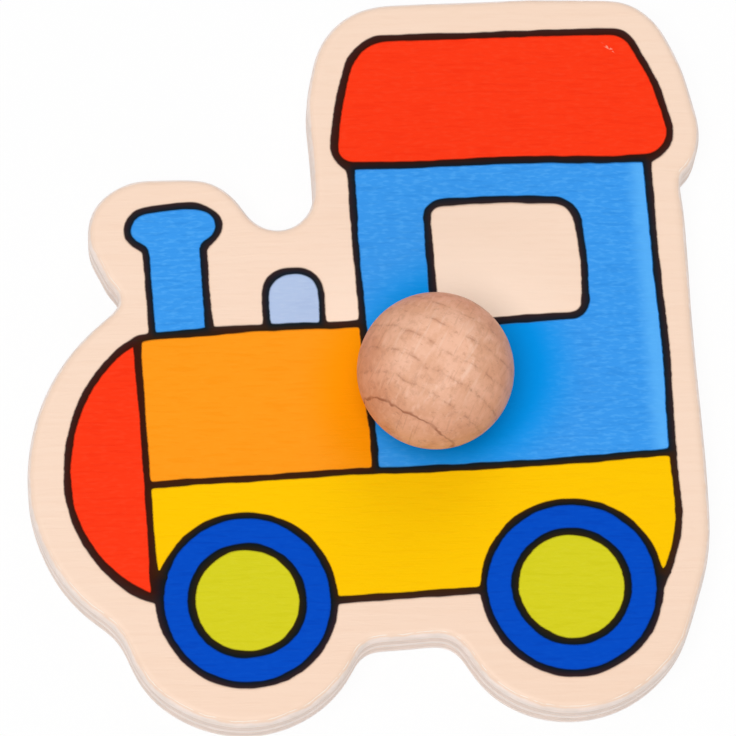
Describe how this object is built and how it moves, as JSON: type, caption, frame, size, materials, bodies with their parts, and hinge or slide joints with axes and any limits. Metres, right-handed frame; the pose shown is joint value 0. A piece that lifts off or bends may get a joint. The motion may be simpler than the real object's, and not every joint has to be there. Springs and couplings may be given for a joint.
{
  "type": "wooden puzzle piece",
  "caption": "Flat plywood puzzle piece sawn to the outline of a toy steam engine, printed in bright colours with black outlines, with a round wooden knob to lift it.",
  "frame": {"origin": "middle of the board's outline, on the flat back that lies in the tray", "axes": "+X from the engine's nose to its cab, +Y up the picture from wheels to roof, +Z out of the printed face through the knob"},
  "size_m": [0.0904, 0.095, 0.0262],
  "materials": {
    "ply_face": "sanded and clear varnished",
    "ply_crossband": "sanded cross grain",
    "beech": "turned and sanded",
    "red_ink": "satin print",
    "sky_blue_ink": "satin print",
    "pale_blue_ink": "satin print",
    "orange_ink": "satin print",
    "yellow_ink": "satin print",
    "deep_blue_ink": "satin print",
    "lime_green_ink": "satin print",
    "black_ink": "satin print"
  },
  "bodies": {
    "root": {"face_veneer": "ply_face", "front_crossband": "ply_crossband", "core_ply": "ply_face", "rear_crossband": "ply_crossband", "back_veneer": "ply_face", "knob": "beech", "dowel": "beech", "print_roof": "red_ink", "print_nose": "red_ink", "print_cab": "sky_blue_ink", "print_chimney": "sky_blue_ink", "print_dome": "pale_blue_ink", "print_boiler": "orange_ink", "print_frame": "yellow_ink", "print_front_tyre": "deep_blue_ink", "print_rear_tyre": "deep_blue_ink", "print_front_hub": "lime_green_ink", "print_rear_hub": "lime_green_ink", "print_outline": "black_ink", "print_window_line": "black_ink", "print_front_hub_line": "black_ink", "print_rear_hub_line": "black_ink"}
  },
  "joints": []
}
